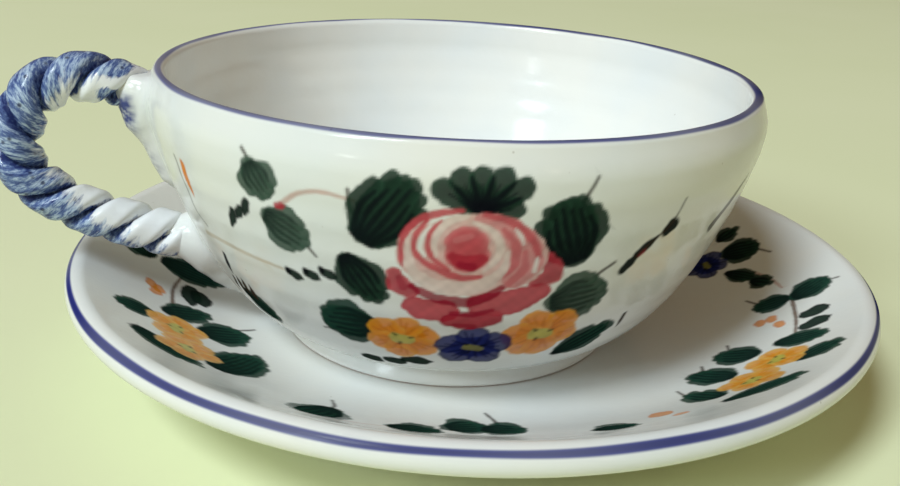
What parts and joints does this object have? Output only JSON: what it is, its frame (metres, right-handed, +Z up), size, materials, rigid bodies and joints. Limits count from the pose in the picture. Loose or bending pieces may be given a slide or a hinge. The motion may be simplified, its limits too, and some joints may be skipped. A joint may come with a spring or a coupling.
{
  "type": "cup with saucer",
  "caption": "Wide glazed earthenware cup with a twisted rope handle, painted with flowers, standing in a round dished saucer that it lifts out of.",
  "frame": {"origin": "on the table plane under the cup's vertical axis; the saucer's axis is 4.5 mm further along +X, as the cup has slid towards its handle", "axes": "+Z up; the handle points along -X; +Y completes the right-handed set"},
  "size_m": [0.1613, 0.1512, 0.0588],
  "materials": {
    "white_glaze": "gloss",
    "blue_glaze": "gloss"
  },
  "bodies": {
    "saucer": {"saucer_dish": "white_glaze", "saucer_foot_ring": "white_glaze"},
    "cup": {"cup_bowl": "white_glaze", "cup_foot_ring": "white_glaze", "handle_strand_a": "blue_glaze", "handle_strand_b": "blue_glaze", "handle_upper_root": "white_glaze", "handle_lower_root": "white_glaze"}
  },
  "joints": [
    {"name": "cup_lift", "type": "slide", "parent": "saucer", "child": "cup", "axis": [0, 0, 1], "range_m": [0, 0.1]}
  ]
}
